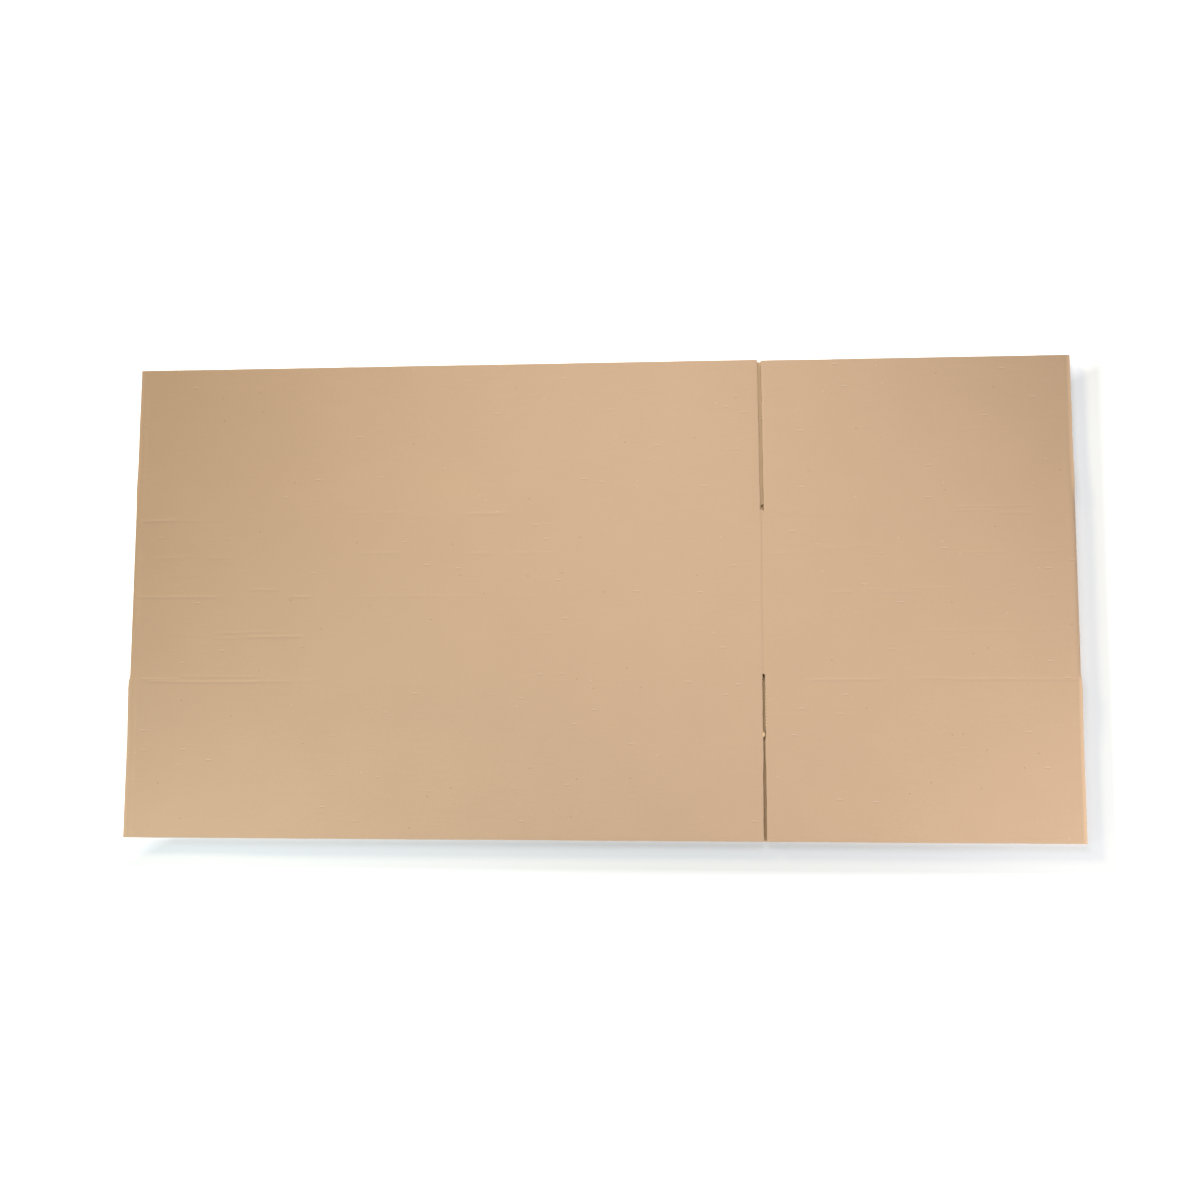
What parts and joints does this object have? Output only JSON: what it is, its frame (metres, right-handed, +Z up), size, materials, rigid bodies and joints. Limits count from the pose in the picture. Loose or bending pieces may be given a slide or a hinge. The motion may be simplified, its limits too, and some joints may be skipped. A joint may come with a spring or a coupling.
{
  "type": "flattened cardboard box",
  "caption": "Regular slotted shipping box of single-wall corrugated board, glued at its side joint and folded flat, with flaps above and below.",
  "frame": {"origin": "middle of the underside that the flat box lies on", "axes": "+X along the long panels, towards the end of the short upper panel; +Y from the bottom flaps to the top flaps; +Z up, out of the upper layer"},
  "size_m": [0.8946, 0.454, 0.0108],
  "materials": {
    "kraft_board": "matte brown kraft liner"
  },
  "bodies": {
    "root": {"folded_box": "kraft_board"}
  },
  "joints": []
}
